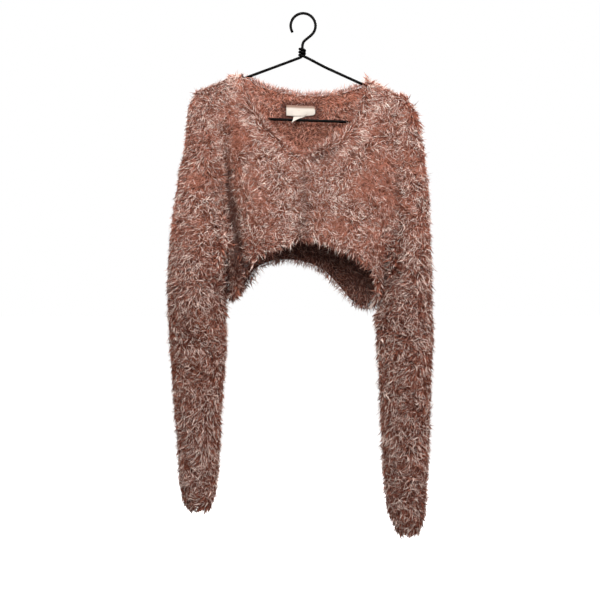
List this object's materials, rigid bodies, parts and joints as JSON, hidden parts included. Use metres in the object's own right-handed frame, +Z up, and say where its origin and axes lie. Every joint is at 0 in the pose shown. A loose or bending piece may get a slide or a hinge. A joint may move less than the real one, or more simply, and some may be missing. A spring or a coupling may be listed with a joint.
{
  "type": "cropped cardigan on a wire hanger",
  "caption": "Cropped long-sleeved cardigan in furry eyelash yarn, open at neck, hem and cuffs, hanging flat on a plain black wire hanger.",
  "frame": {"origin": "Inside top of the hanger's hook, where it rests on a rail.", "axes": "+Z is up, the fronts face -Y, and the wearer's left is at +X."},
  "size_m": [0.4256, 0.099, 0.8317],
  "materials": {
    "eyelash_knit": "furry, glossy pile",
    "label_satin": "satin",
    "black_wire": "gloss"
  },
  "bodies": {
    "root": {"back": "eyelash_knit", "left_front": "eyelash_knit", "left_sleeve": "eyelash_knit", "neckband": "eyelash_knit", "right_front": "eyelash_knit", "right_sleeve": "eyelash_knit", "neck_label": "label_satin", "size_tag": "label_satin", "hanger": "black_wire"}
  },
  "joints": []
}
